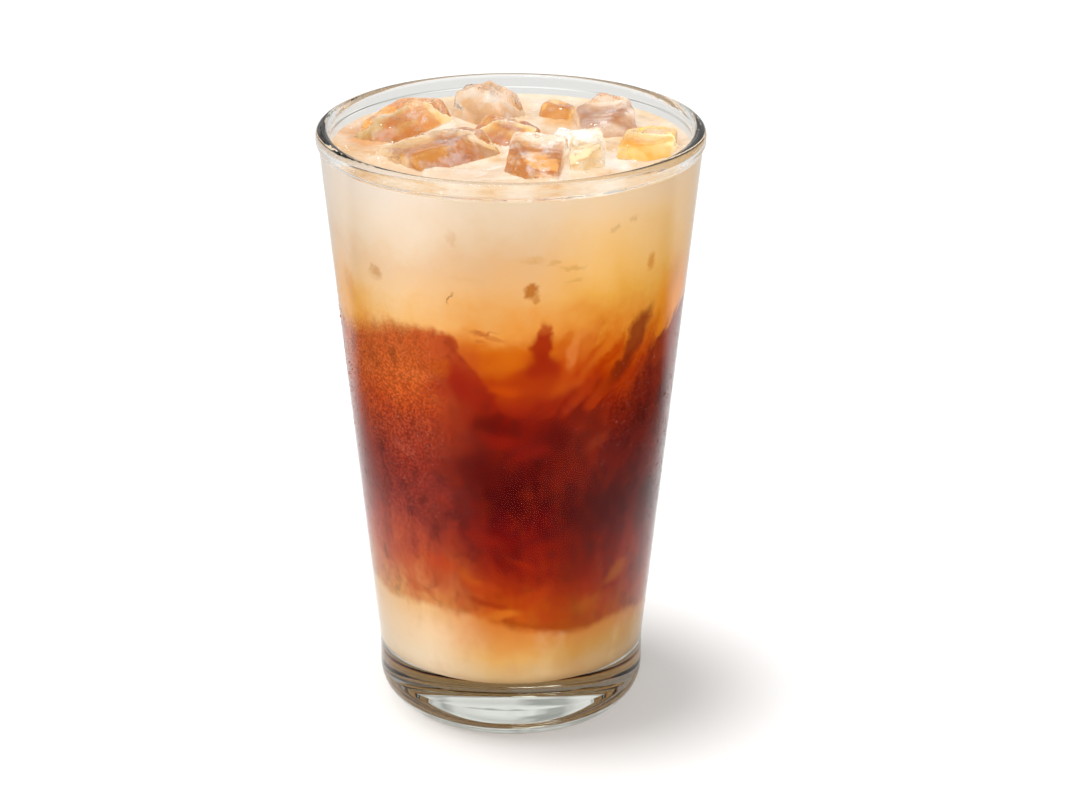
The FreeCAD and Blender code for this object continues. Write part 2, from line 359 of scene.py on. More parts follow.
TEA_SWIRLS = [
    (-17, 93, 3.0, 6.0, 38, 0.7, 0.8, "941806"),
    (-24, 96, 3.4, 2.6, -20, 0.8, 0.6, "C0520F"),
    (-25, 91, 4.6, 2.2, -16, 0.9, 0.6, "A42C12"),
    (-9, 71, 10, 4.6, -14, 0.9, 0.7, "560704"),
    (-1, 64, 7, 4.0, 6, 0.9, 0.6, "4A0202"),
    (-5, 79, 6, 2.2, -14, 0.8, 0.6, "8E1404"),
    (6, 75.5, 4, 1.8, 14, 0.8, 0.6, "84160A"),
    (-30, 66, 6, 3.4, -12, 0.9, 0.4, "8A2A22"),
    (-36, 93, 6.0, 2.4, 8, 0.9, 0.4, "D46A34"),
    (-43, 74, 4, 2.0, -20, 0.9, 0.4, "B2503A"),
    (16, 79.5, 3.4, 4.0, 6, 0.6, 0.75, "560702"),
    (24, 83, 5, 1.8, 12, 0.8, 0.6, "721404"),
    (33, 77, 4.4, 1.8, 24, 0.8, 0.6, "842A12"),
    (44, 76, 6, 4.0, 28, 0.9, 0.6, "561410"),
    (38, 58, 14, 6.4, 4, 0.9, 0.5, "4A0604"),
    (20, 69.5, 5, 2.0, 10, 0.9, 0.5, "74140A"),
    (-11, 54, 7, 2.4, -18, 0.9, 0.5, "8E1806"),
    (13, 51, 5.4, 2.6, 14, 0.9, 0.5, "8C1804"),
    (4, 47, 6, 1.4, -24, 0.8, 0.5, "A02404"),
    (-30, 46, 8, 2.4, -14, 0.8, 0.5, "BE3E0C"),
    (112, 76, 13, 8, 20, 1.0, 0.6, "4E0804"),
    (150, 88, 9, 4.6, -24, 0.9, 0.6, "A8380C"),
    (176, 64, 15, 7, 8, 1.0, 0.6, "400403"),
    (166, 78, 7, 3, -20, 0.9, 0.6, "8E1E06"),
    (205, 82, 8, 8, 30, 0.9, 0.6, "98280A"),
    (238, 60, 12, 6, -12, 1.0, 0.5, "6A140C"),
]
AMBER_SWIRLS = [
    (-13, 41.4, 5.4, 2.4, -16, 0.8, 0.6, "BC4006"),
    (-17, 43.6, 3.4, 1.6, -20, 0.8, 0.5, "C4560C"),
    (-9, 37.4, 7.0, 0.9, -10, 0.5, 0.7, "9A3006"),
    (-2, 34.6, 5.4, 1.4, 10, 0.7, 0.7, "D2701C"),
    (6, 32.0, 5.0, 0.8, -14, 0.5, 0.6, "A24208"),
    (12, 39.4, 4.0, 1.6, 30, 0.8, 0.6, "B03408"),
    (32, 35.4, 6.0, 2.4, 8, 0.7, 0.5, "AA5410"),
    (47, 41.4, 5.0, 2.0, 24, 0.8, 0.6, "A4520E"),
    (22, 31.0, 9.0, 1.4, 0, 0.6, 0.6, "9C3E04"),
    (-42, 38.6, 7, 1.4, -16, 0.7, 0.5, "BC5420"),
    (-34, 34.4, 5, 1.2, -14, 0.7, 0.6, "D27A34"),
    (118, 41, 9, 2.4, 12, 0.8, 0.7, "C25A10"),
    (150, 36, 6, 1.4, -12, 0.7, 0.6, "9C3606"),
    (172, 40, 7, 2.2, -16, 0.7, 0.7, "CE6A18"),
    (222, 43, 8, 2.4, 20, 0.8, 0.6, "BA4A0C"),
]
FLECKS = [
    (-48.9, 116.2, 1.9, 1.7, 0, 0.9, 0.55, "C8843F"),
    (6.2, 116.2, 1.5, 1.9, 0, 0.6, 0.85, "B0600C"),
    (8.5, 114.2, 0.9, 1.0, 0, 0.6, 0.6, "B8701E"),
    (50.5, 118.5, 1.2, 2.4, 0, 0.8, 0.7, "D08430"),
    (-20.4, 113.6, 0.4, 1.8, -30, 0.7, 0.7, "9A6434"),
    (-9.3, 105.8, 2.6, 0.5, 0, 0.7, 0.6, "B8622C"),
    (-10.5, 103.6, 1.4, 0.5, 0, 0.7, 0.5, "B85C20"),
    (-18.3, 127.8, 1.0, 2.0, 10, 1.0, 0.45, "D8A678"),
    (40.7, 130.5, 1.2, 0.9, 0, 1.0, 0.45, "C99862"),
    (34.0, 129.0, 1.0, 0.6, 0, 1.0, 0.4, "C08A58"),
    (7, 123.6, 2.4, 0.9, -8, 1.0, 0.5, "D0944C"),
    (14, 122.6, 1.6, 0.6, 10, 1.0, 0.5, "CC9048"),
    (19.7, 121.1, 3.0, 0.6, -8, 1.0, 0.55, "CC9450"),
    (20, 118.0, 2.0, 0.5, 6, 0.9, 0.4, "C88C40"),
    (-14, 118.6, 3.6, 0.5, -6, 1.0, 0.35, "D8A878"),
    (-66, 110, 2.6, 4.5, 12, 1.0, 0.5, "E89A48"),
    (66, 111, 3.0, 6.0, -10, 1.0, 0.6, "DC8C34"),
    (115, 117, 2.2, 3.0, 14, 0.9, 0.6, "C8803C"),
    (150, 122, 3.4, 0.8, -6, 1.0, 0.5, "CC945C"),
    (184, 112, 2.4, 4.0, 20, 0.9, 0.6, "D08838"),
    (228, 118, 2.0, 2.6, -10, 0.9, 0.6, "C27A34"),
]

# Noise that stirs the drink: size, how far it moves things along the wall and up, detail, seed
STIRS = [(15.0, 2.6, 1.6, 1.0, 0.0), (5.0, 2.6, 1.9, 3.0, 3.0), (1.7, 0.9, 0.8, 3.0, 5.0)]

# Hazy patches of condensation: bearing, height, half width and half height in mm, lean, softness, strength
MIST = [
    (-44, 78, 19, 31, 0, 1.0, 1.0),
    (-70, 92, 14, 20, 0, 1.0, 0.9),
    (-22, 62, 9, 14, 24, 1.0, 0.8),
    (45, 84, 10, 17, 0, 1.0, 0.75),
    (68, 70, 12, 24, 0, 1.0, 0.9),
    (118, 84, 20, 26, 10, 1.0, 0.9),
    (180, 74, 18, 30, 0, 1.0, 0.9),
    (232, 92, 20, 20, 0, 1.0, 0.9),
]

# Where the left and right ramps come in and go out again, in mm round the wall from the front
LEFT_STARTS, LEFT_ENDS = (-3.0, -27.0), (-90.0, -64.0)
RIGHT_STARTS, RIGHT_ENDS = (2.0, 20.0), (84.0, 60.0)

# Lean of the streaks in the cream at the right and of those in the tea, in degrees to the left
FAN_LEAN = -34
FALL_LEAN = 10

# Glow of the cream's lower part at the left and the right edge
GLOW_COLOURS = ("FFB244", "FC9C1C")

# Half the depth over which milk turns to tea, and how far noise moves the flecks, in mm
MILK_SOFTNESS = 1.5
FLECK_STIR = 1.6

# Grain of the condensation, whose light specks are painted glints of the drops and whose dark specks are
# painted shade: noise from and to, strength, tint that multiplies the colour
MIST_GLINT_AND_SHADE_SPECKS = [(0.51, 0.64, 0.34, (1.9, 2.1, 1.9, 1.0)), (0.49, 0.36, 0.46, (0.5, 0.4, 0.4, 1.0))]
MIST_LOST_ON_CREAM = 0.85

# Mirror at the wall's inner side: its tint low down, and near the rim a dark olive tint that is painted shade
# in the reflection, and the step in index into the drink
MIRROR_LOW = (0.95, 0.95, 0.94, 1)
MIRROR_DARKENED_HIGH = (0.42, 0.37, 0.25, 1)
WALL_TO_DRINK = 0.90


def wall_places(graph):
    """Bearing, height, and the distance round the wall and height once noise has stirred them, in mm."""
    x, y, z = graph.axes(graph.place())
    bearing = graph.math("ARCTAN2", x, graph.math("MULTIPLY", y, -1.0))
    across = graph.math("MULTIPLY", bearing, WALL_ARM)
    height = z
    for size, wide, tall, detail, seed in STIRS:
        stir = graph.axes(graph.noise(size, detail=detail, rough=0.6, seed=seed, colour=True))
        across = graph.math("ADD", across, graph.swing(stir[0], wide))
        height = graph.math("ADD", height, graph.swing(stir[1], tall))
    return bearing, z, across, height


def swirl_share(graph, pair, swirl, on_wall=True):
    """The swirl's strength inside its oval and 0 outside it. A swirl on the wall is placed by its bearing."""
    place, rise, half_width, half_height, lean, softness, strength = swirl[:7]
    if on_wall:
        place = math.radians(place - 360 if place > 180 else place) * WALL_ARM
    away = graph.vector("SUBTRACT", pair, (place, rise, 0.0))
    cosine, sine = math.cos(math.radians(lean)), math.sin(math.radians(lean))
    along = graph.vector("DOT_PRODUCT", away, (cosine / half_width, sine / half_width, 0.0))
    over = graph.vector("DOT_PRODUCT", away, (-sine / half_height, cosine / half_height, 0.0))
    distance = graph.vector("LENGTH", graph.pair(along, over))
    return graph.step(distance, 1.0 + softness * 0.4, 1.0 - softness * 0.85, strength)


def with_swirls(graph, colour, pair, swirls, on_wall=True):
    """Colour with the swirls laid over it."""
    for swirl in swirls:
        colour = graph.blend(swirl_share(graph, pair, swirl, on_wall), colour, linear(swirl[7]))
    return colour


def mist_share(graph, bearing, z):
    """How thick the condensation is in front of a place on the drink's wall, from 0 to 1."""
    pair = graph.pair(graph.math("MULTIPLY", bearing, WALL_ARM), z)
    total = 0.0
    for patch in MIST:
        total = graph.math("MAXIMUM", total, swirl_share(graph, pair, patch))
    return total


def by_bearing(graph, across, height, left, middle, right):
    """One of three ramps over height, by the side of the front that a place is on: the left ramp holds
    painted light and haze, the right one painted shade.
    """
    to_left = graph.math("MULTIPLY", graph.step(across, *LEFT_STARTS), graph.step(across, *LEFT_ENDS))
    to_right = graph.math("MULTIPLY", graph.step(across, *RIGHT_STARTS), graph.step(across, *RIGHT_ENDS))
    colour = graph.blend(to_left, graph.ramp(height, middle), graph.ramp(height, left))
    return graph.blend(to_right, colour, graph.ramp(height, right))


def clouded(graph, colour, cloud, *wisps):
    """Colour with wisps of a noise in it, each as (where it starts, where it is full, strength, code)."""
    for low, high, strength, code in wisps:
        colour = graph.blend(graph.step(cloud, low, high, strength), colour, linear(code))
    return colour


def streaks(graph, across, height, lean, size, seed):
    """Noise drawn out along a line that leans so many degrees to the left of upright."""
    cosine, sine = math.cos(math.radians(lean)), math.sin(math.radians(lean))
    over = graph.math("MULTIPLY_ADD", height, sine, graph.math("MULTIPLY", across, cosine))
    along = graph.math("MULTIPLY_ADD", height, cosine, graph.math("MULTIPLY", across, -sine))
    pair = graph.pair(over, graph.math("MULTIPLY", along, 0.3))
    return graph.noise(size, detail=4.0, rough=0.6, seed=seed, vector=pair)


def cream_colour(graph, across, height, turn, right, fan, cloud):
    """Cream and its orange tongue, with streaks that fan out at the right and a glow at both sides."""
    level = graph.math("ADD", height, graph.math("ADD", fan, cloud))
    colour = by_bearing(graph, across, level, CREAM_LEFT_LIT_HAZY, CREAM_MIDDLE, CREAM_RIGHT_SHADED)
    beside = graph.step(graph.math("ABSOLUTE", turn), 50.0, 70.0)
    glow = graph.math("MULTIPLY", beside, graph.step(height, 119.0, 106.0, 0.9))
    colour = graph.blend(glow, colour, graph.blend(right, *map(linear, GLOW_COLOURS)))
    return with_swirls(graph, colour, graph.pair(across, height), TONGUE_SWIRLS)


def tea_colour(graph, across, height, cloud):
    """Red tea, dark in the middle, with wisps that fall through it and amber flames at its foot."""
    fall = graph.swing(streaks(graph, across, height, FALL_LEAN, 3.4, 43.0), 9.0)
    level = graph.math("ADD", height, graph.math("ADD", fall, cloud))
    colour = by_bearing(graph, across, level, TEA_LEFT_LIT_HAZY, TEA_MIDDLE, TEA_RIGHT_SHADED)
    broad = graph.noise(8.0, detail=6.0, rough=0.62, stretch=(1.0, 1.0, 0.55), seed=9.0)
    colour = clouded(graph, colour, broad, (0.5, 0.68, 0.24, "A42804"), (0.5, 0.34, 0.24, "2E0202"))
    fine = graph.noise(3.4, detail=6.0, rough=0.66, stretch=(1.0, 1.0, 0.7), seed=53.0)
    colour = clouded(graph, colour, fine, (0.5, 0.36, 0.34, "2C0202"), (0.52, 0.68, 0.18, "AC2C04"))
    return with_swirls(graph, colour, graph.pair(across, height), TEA_SWIRLS + AMBER_SWIRLS)


def milk_colour(graph, across, height):
    """Sweet milk, with faint clouds."""
    colour = by_bearing(graph, across, height, MILK_LEFT_LIT_HAZY, MILK_MIDDLE, MILK_RIGHT_SHADED)
    cloud = graph.noise(8.0, detail=6.0, rough=0.62, stretch=(1.0, 1.0, 0.55), seed=27.0)
    return clouded(graph, colour, cloud, (0.5, 0.68, 0.14, "F8E0B8"), (0.5, 0.34, 0.14, "B8702C"))


def side_colour(graph, bearing, z, across, height):
    """Colour of the drink beside the wall, and how far a place is in the cream."""
    turn = graph.math("MULTIPLY", across, math.degrees(1.0 / WALL_ARM))
    right = graph.step(turn, 2.0, 18.0)
    low = graph.math("MULTIPLY", right, graph.step(height, 108.0, 101.0))
    fan = graph.math("MULTIPLY", graph.swing(streaks(graph, across, height, FAN_LEAN, 2.6, 41.0), 11.0), low)
    cloud = graph.swing(graph.noise(9.0, detail=5.0, rough=0.6, seed=21.0), 7.0)
    cream = cream_colour(graph, across, height, turn, right, fan, cloud)
    tea = tea_colour(graph, across, height, cloud)
    over = graph.math("MULTIPLY_ADD", fan, 0.6, height)
    over = graph.math("SUBTRACT", over, graph.outline(turn, CREAM_EDGE))
    capped = graph.step(graph.math("DIVIDE", over, graph.outline(turn, CREAM_SOFTNESS)), -1.0, 1.0)
    under = graph.math("SUBTRACT", height, graph.outline(turn, MILK_EDGE))
    colour = graph.blend(capped, tea, cream)
    colour = graph.blend(
        graph.step(under, MILK_SOFTNESS, -MILK_SOFTNESS), colour, milk_colour(graph, across, height))
    nudge = graph.axes(graph.noise(1.6, detail=2.0, rough=0.6, seed=63.0, colour=True))
    still = graph.math("MULTIPLY_ADD", bearing, WALL_ARM, graph.swing(nudge[0], FLECK_STIR))
    rise = graph.math("ADD", z, graph.swing(nudge[1], FLECK_STIR))
    return with_swirls(graph, colour, graph.pair(still, rise), FLECKS), capped


def drink_side_material():
    """Drink behind the wall, under fine condensation. Past 64 degrees the wall's inner side mirrors."""
    graph = Graph("drink_side")
    bearing, z, across, height = wall_places(graph)
    colour, capped = side_colour(graph, bearing, z, across, height)
    bare = graph.math("MULTIPLY_ADD", capped, -MIST_LOST_ON_CREAM, 1.0)
    mist = graph.math("MULTIPLY", mist_share(graph, bearing, z), bare)
    # Light specks are painted glints of the drops, dark ones painted shade
    speck = graph.noise(0.6, detail=0.0, seed=33.0)
    for low, high, strength, tint in MIST_GLINT_AND_SHADE_SPECKS:
        share = graph.math("MULTIPLY", mist, graph.step(speck, low, high, strength))
        colour = graph.blend(share, colour, tint, "MULTIPLY")
    shader = graph.principled(Base_Color=colour, Roughness=0.5, IOR=1.45, Specular_IOR_Level=0.0)
    # Near the rim the mirror turns dark olive: painted shade in the reflection
    tint = graph.blend(graph.step(z, 50.0, 100.0), MIRROR_LOW, MIRROR_DARKENED_HIGH)
    mirror = graph.add("ShaderNodeBsdfGlossy")
    graph.feed(mirror.inputs["Roughness"], 0.0)
    graph.feed(mirror.inputs["Color"], tint)
    fresnel = graph.add("ShaderNodeFresnel")
    graph.feed(fresnel.inputs["IOR"], WALL_TO_DRINK)
    share = graph.math("MULTIPLY", fresnel.outputs[0], graph.step(z, 18.0, 50.0))
    return graph.finish(graph.mixed(share, shader, mirror.outputs[0]))


# Stains and pale streaks on the surface, seen from above, with painted white glints among them: place in mm
# (right, back), half width and half height in mm, lean in degrees, softness, strength, colour; and how far
# noise moves them
SURFACE_STIR = 5.0
SURFACE_STAINS_AND_GLINTS = [
    # The white patches at (1.5, -5), (8, 1) and (14, 3) and the thin white lines are painted glints and
    # highlights
    (-33, 8, 7, 12, 0, 0.9, 0.85, "DA8E3E"),
    (-36, -8, 4, 10, 10, 0.9, 0.6, "E8B67C"),
    (-20, 28, 11, 6, 30, 0.9, 0.6, "E4AE76"),
    (-12, -21, 13, 5, 4, 0.9, 0.6, "ECD0B6"),
    (-24, -18, 7, 3, -24, 0.6, 0.5, "E6BE94"),
    (1.5, -5, 3.5, 6, 0, 0.8, 0.9, "FFFBF4"),
    (-3, -24, 9, 1.2, 4, 0.8, 0.5, "FBEBDA"),
    (8, 1, 4, 8, -20, 0.8, 0.8, "FBEEDF"),
    (14, 3, 3, 9, 10, 0.8, 0.8, "FFFAF2"),
    (24, -14, 4, 6, 20, 0.9, 0.8, "FBF0E4"),
    (14, 21, 7, 6, 0, 0.9, 0.7, "DE9C50"),
    (6, 11, 3, 6, 30, 0.8, 0.7, "DA9446"),
    (31, 9, 5, 6, -10, 0.9, 0.6, "E8C090"),
    (37, 3, 3, 10, 0, 0.9, 0.4, "E2B480"),
    (-8, 5, 1.6, 6, -35, 0.6, 0.8, "FFF6E6"),
    (-15, 17, 1.6, 7, 25, 0.6, 0.7, "FAEBD6"),
    (-24, 3, 8, 1.2, 20, 0.6, 0.8, "FBEAD2"),
    (-8, -17, 10, 1.0, 8, 0.6, 0.7, "FFF8EC"),
]


def surface_material():
    """Milky top of the drink, stained amber where ice has melted into it, with painted white glints."""
    graph = Graph("drink_surface")
    x, y, z = graph.axes(graph.place())
    stir = graph.axes(graph.noise(6.0, detail=4.0, rough=0.6, seed=12.0, colour=True))
    across = graph.math("ADD", x, graph.swing(stir[0], SURFACE_STIR))
    deep = graph.math("ADD", y, graph.swing(stir[1], SURFACE_STIR))
    cloud = graph.noise(9.0, detail=5.0, rough=0.6, seed=2.0)
    colour = graph.ramp(cloud, [(0.3, "F6E4D0"), (0.46, "F1D8BC"), (0.58, "EBC8A0"), (0.72, "E0A464")])
    colour = with_swirls(graph, colour, graph.pair(across, deep), SURFACE_STAINS_AND_GLINTS, on_wall=False)
    ripple = graph.noise(3.0, detail=3.0, seed=5.0)
    return graph.finish(graph.principled(
        Base_Color=colour, Roughness=0.14, IOR=1.34, Normal=graph.bump(ripple, 0.0005, 0.6)))


def pocket_material(name, deep, pale):
    """Drink seen through one piece of ice: pale near the surface and deeper lower down."""
    graph = Graph("drink_round_" + name)
    z = graph.axes(graph.place())[2]
    stirred = graph.math("ADD", z, graph.swing(graph.noise(6.0, detail=4.0, rough=0.65, seed=4.0), 7.0))
    top = LEVEL / MM
    colour = graph.ramp(
        stirred, [(top - 11.0, deep), (top - 6.0, deep), (top - 1.0, pale), (top + 3.0, "F6E4CE")])
    return graph.finish(graph.principled(
        Base_Color=colour, Roughness=0.4, IOR=1.34, Specular_IOR_Level=0.1))


# Colours of the drink round each piece of ice, deep and near the surface, painted lighter than the drink to
# make up for the shade in the hollow pockets
POCKET_COLOURS_LIGHTENED = {
    "ice_tall": ("CE9654", "DAB28A"),
    "ice_long": ("EAB04C", "F6D490"),
    "ice_broad": ("DC9C38", "E8C48C"),
    "ice_front": ("E4AC58", "F6E6D0"),
    "ice_middle": ("EEB040", "F8D080"),
    "ice_clear": ("DEB48A", "EBD0B6"),
    "ice_amber": ("FFD868", "FFF0B4"),
    "ice_small": ("E8A840", "F4CC88"),
    "ice_sliver": ("F0DCB8", "FFF8EC"),
}

# Share of light that each piece of ice lets through in its cloudy parts, and in its clear ones
ICE_CLARITY = {
    "ice_tall": 0.70, "ice_long": 0.80, "ice_broad": 0.74, "ice_front": 0.55, "ice_middle": 0.80,
    "ice_clear": 0.68, "ice_amber": 0.86, "ice_small": 0.80, "ice_sliver": 0.60, "ice_sunk": 0.70}
CLEAR_ICE = 0.97


def see_through_to_lamps(graph, shader):
    """Lets lamps and diffuse light straight through clear matter, and keeps its bending for the view."""
    path = graph.add("ShaderNodeLightPath")
    light = graph.math("MAXIMUM", path.outputs["Is Shadow Ray"], path.outputs["Is Diffuse Ray"])
    return graph.mixed(light, shader, graph.add("ShaderNodeBsdfTransparent").outputs[0])


def glass_material():
    """Clear glass, a little olive where the light goes through much of it."""
    graph = Graph("clear_glass")
    wave = graph.noise(14.0, detail=1.0, stretch=(1.0, 1.0, 0.5), seed=6.0)
    shader = graph.principled(
        Base_Color=linear("FEFFFE"), Roughness=0.0, IOR=1.5, Transmission_Weight=1.0,
        Specular_Tint=(0.05, 0.05, 0.05, 1.0), Normal=graph.bump(wave, 0.0002, 0.3))
    body = graph.add("ShaderNodeVolumeAbsorption")
    graph.feed(body.inputs["Color"], (0.74, 0.76, 0.73, 1.0))
    graph.feed(body.inputs["Density"], 22.0)
    graph.feed(graph.output.inputs["Volume"], body.outputs[0])
    return graph.finish(see_through_to_lamps(graph, shader))


def ice_material(name):
    """Wet ice with cloudy veils in it."""
    graph = Graph("wet_" + name)
    seed = float(len(name) + ord(name[4]) % 7)
    dents = graph.noise(2.2, detail=3.0, rough=0.6, seed=seed)
    cloud = graph.noise(5.0, detail=4.0, rough=0.65, seed=seed + 18.0)
    colour = graph.ramp(cloud, [(0.35, "FFF2E2"), (0.6, "FFFFFF")])
    cloudy = graph.step(cloud, 0.46, 0.66)
    clear = graph.math("MULTIPLY_ADD", cloudy, ICE_CLARITY[name] - CLEAR_ICE, CLEAR_ICE)
    shader = graph.principled(
        Base_Color=colour, Roughness=0.05, IOR=1.31, Transmission_Weight=clear,
        Normal=graph.bump(dents, 0.0006, 0.5))
    return graph.finish(see_through_to_lamps(graph, shader))


def water_material():
    """Clear drops of condensed water."""
    graph = Graph("condensed_water")
    dents = graph.noise(0.3, detail=1.0, seed=28.0)
    shader = graph.principled(
        Base_Color=linear("FFFFFF"), Roughness=0.04, IOR=1.33, Transmission_Weight=1.0,
        Normal=graph.bump(dents, 0.0001, 0.3))
    return graph.finish(see_through_to_lamps(graph, shader))


def foam_material():
    """Pale film of a milk bubble."""
    graph = Graph("milk_bubbles")
    film = graph.noise(1.0, detail=2.0, seed=38.0)
    colour = graph.ramp(film, [(0.3, "F0D6B8"), (0.7, "FBF2E8")])
    return graph.finish(graph.principled(Base_Color=colour, Roughness=0.12, IOR=1.34))


def tree_of(mesh):
    """Search tree over a mesh's faces."""
    return BVHTree.FromPolygons([v.co for v in mesh.vertices], [p.vertices for p in mesh.polygons])


GLASS_TREE = tree_of(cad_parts["glass"].data)
ICE_TREES = {name: tree_of(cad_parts[name].data) for name in ICE_NAMES}


def gap_to_ice(place):
    """Distance from a place to the nearest CAD ice."""
    return min(tree.find_nearest(place)[3] for tree in ICE_TREES.values())


def smooth(mesh, sharp_angle):
    """Smooths a mesh except along edges sharper than the angle in degrees."""
    mesh.polygons.foreach_set("use_smooth", [True] * len(mesh.polygons))
    mesh.set_sharp_from_angle(angle=math.radians(sharp_angle))


def mesh_of(work, title):
    """Mesh from a bmesh, which it frees."""
    mesh = bpy.data.meshes.new(title)
    work.to_mesh(mesh)
    work.free()
    return mesh


def join(work, single):
    """Adds one bmesh to another, and frees it."""
    mesh = mesh_of(single, "joined")
    work.from_mesh(mesh)
    bpy.data.meshes.remove(mesh)


def new_piece(title, work, materials, sharp_angle=40):
    """Object from a bmesh, with its materials."""
    mesh = mesh_of(work, title)
    for material in materials:
        mesh.materials.append(material)
    smooth(mesh, sharp_angle)
    piece = bpy.data.objects.new(title, mesh)
    bpy.context.collection.objects.link(piece)
    return piece


def closed_ice(name):
    """Bmesh of one CAD ice piece, closed where its faces meet."""
    work = bmesh.new()
    work.from_mesh(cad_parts[name].data)
    bmesh.ops.remove_doubles(work, verts=work.verts, dist=0.002 * MM)
    bmesh.ops.recalc_face_normals(work, faces=work.faces)
    return work


def with_modifiers(piece):
    """New mesh that the piece's modifiers give."""
    bpy.context.view_layer.update()
    graph = bpy.context.evaluated_depsgraph_get()
    mesh = bpy.data.meshes.new_from_object(piece.evaluated_get(graph))
    piece.modifiers.clear()
    return mesh


def inner_radius(z):
    """Radius of the glass's inner wall at a height."""
    reach = []
    for step in range(16):
        angle = step * math.tau / 16
        hit = GLASS_TREE.ray_cast(Vector((0, 0, z)), Vector((math.cos(angle), math.sin(angle), 0)))
        reach.append(hit[3])
    return max(reach)


def surface_height(x, y, reach):
    """Drink's surface: it climbs the wall and creeps up the ice, and isn't quite flat."""
    beside = min(max((reach - math.hypot(x, y)) / MENISCUS_WIDTH, 0), 1)
    rise = MENISCUS_RISE * (1 - beside) ** 2
    place = Vector((x, y, LEVEL))
    rise += ICE_CREEP * math.exp(-gap_to_ice(place) / ICE_CREEP_REACH)
    wave = noise.noise(place * WAVES_A_METRE) * WAVE_HEIGHT * beside
    return LEVEL + rise + wave


def drink_rings():
    """Outline of the drink from the middle of its floor up the wall, as (radius, height)."""
    floor_radius = inner_radius(FLOOR_TOP + FLOOR_ROUND) - FLOOR_ROUND
    rings = []
    for step in range(1, FLOOR_STEPS + 1):
        rings.append((floor_radius * step / FLOOR_STEPS, FLOOR_TOP - INTO_WALL))
    for step in range(1, HEEL_STEPS + 1):
        turn = math.radians(step * HEEL_TURN)
        z = FLOOR_TOP + FLOOR_ROUND * (1 - math.cos(turn))
        rings.append((inner_radius(z) + INTO_WALL * math.sin(turn), z - INTO_WALL * math.cos(turn)))
    start = FLOOR_TOP + FLOOR_ROUND
    for step in range(WALL_STEPS + 1):
        z = start + (LEVEL + MENISCUS_RISE - start) * step / WALL_STEPS
        rings.append((inner_radius(z) + INTO_WALL, z))
    return rings


def drink_body():
    """Closed lathe of the whole drink: faces of the top use slot 1, the rest slot 0."""
    work = bmesh.new()
    loops = []
    turns = [step * math.tau / ROUND_STEPS for step in range(ROUND_STEPS)]
    for radius, z in drink_rings():
        loops.append([work.verts.new((radius * math.cos(t), radius * math.sin(t), z)) for t in turns])
    side_loops = len(loops)
    reach = inner_radius(LEVEL)
    for step in range(TOP_STEPS):
        radius = reach * (1 - (step + 0.35) / TOP_STEPS)
        loop = []
        for t in turns:
            x, y = radius * math.cos(t), radius * math.sin(t)
            loop.append(work.verts.new((x, y, surface_height(x, y, reach))))
        loops.append(loop)
    bottom = work.verts.new((0, 0, FLOOR_TOP - INTO_WALL))
    top = work.verts.new((0, 0, surface_height(0, 0, reach)))
    for index, (low, high) in enumerate(zip(loops, loops[1:])):
        for step in range(ROUND_STEPS):
            ahead = (step + 1) % ROUND_STEPS
            face = work.faces.new((low[step], low[ahead], high[ahead], high[step]))
            face.material_index = 0 if index < side_loops - 1 else 1
    for step in range(ROUND_STEPS):
        ahead = (step + 1) % ROUND_STEPS
        work.faces.new((bottom, loops[0][ahead], loops[0][step]))
        work.faces.new((top, loops[-1][step], loops[-1][ahead])).material_index = 1
    return work


def make_drink():
    """One marbled drink, with a pocket round each piece of ice."""
    pockets = {name: pocket_material(name, *POCKET_COLOURS_LIGHTENED[name]) for name in ICE_NAMES}
    ice = bmesh.new()
    for index, name in enumerate(ICE_NAMES):
        single = closed_ice(name)
        for face in single.faces:
            face.material_index = index
        join(ice, single)
    cutter = new_piece("ice_cutter", ice, pockets.values())
    piece = new_piece("layered_drink", drink_body(), [drink_side_material(), surface_material()])
    cut = piece.modifiers.new("pockets", "BOOLEAN")
    cut.operation = "DIFFERENCE"
    cut.solver = "EXACT"
    cut.material_mode = "TRANSFER"
    cut.object = cutter
    piece.data = with_modifiers(piece)
    bpy.data.objects.remove(cutter)
    smooth(piece.data, 50)
    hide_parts("sweet_milk", "red_tea", "cream")
    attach(piece, "root")


def make_ice():
    """Each piece of ice with dents melted into it: it reaches a little into the drink's pocket."""
    for number, name in enumerate(ICE_NAMES):
        material = ice_material(name)
        piece = new_piece("melted_" + name, closed_ice(name), [material])
        remesh = piece.modifiers.new("grain", "REMESH")
        remesh.mode = "VOXEL"
        remesh.voxel_size = ICE_GRAIN
        mesh = with_modifiers(piece)
        piece.data = mesh
        normals = [vertex.normal.copy() for vertex in mesh.vertices]
        for vertex, normal in zip(mesh.vertices, normals):
            place = vertex.co / MM
            dent = BROAD_DENTS[0] * noise.noise(place * BROAD_DENTS[1] + Vector((number, 0, 0)) * 9)
            dent += FINE_DENTS[0] * noise.noise(place * FINE_DENTS[1])
            free = min(max((vertex.co.z - LEVEL - FREE_FROM) / FREE_OVER, 0), 1)
            sunk = INTO_DRINK + 0.4 * abs(dent) * MM
            vertex.co += normal * (sunk * (1 - free) + dent * MM * free)
        mesh.materials.clear()
        mesh.materials.append(material)
        mesh.polygons.foreach_set("use_smooth", [True] * len(mesh.polygons))
        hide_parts(name)
        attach(piece, "root")


# Ice just under the surface, whose edges break through: place in mm, size in mm, turns in degrees, and
# rise over the level in mm
SUNK_ICE = [
    ((-12, -22.5), (16, 9, 8), (16, 7, 10), 1.9),
    ((-29.5, -8.5), (9, 11, 8), (-18, 13, 30), 1.8),
    ((-20, 27.5), (12, 8, 8), (20, -10, 24), 2.2),
    ((11, -26.5), (14, 7, 8), (-15, 12, -14), 1.7),
    ((27, -19), (9, 9, 8), (16, -14, 36), 1.8),
    ((33, 8), (6, 9, 8), (-14, 14, 10), 1.9),
    ((12.3, 4), (8, 10, 8), (18, 11, -20), 2.4),
    ((-13.5, 6.5), (7, 6, 8), (16, 14, 40), 2.2),
    ((2.5, 34.4), (11, 5, 8), (-12, 14, 4), 2.0),
]


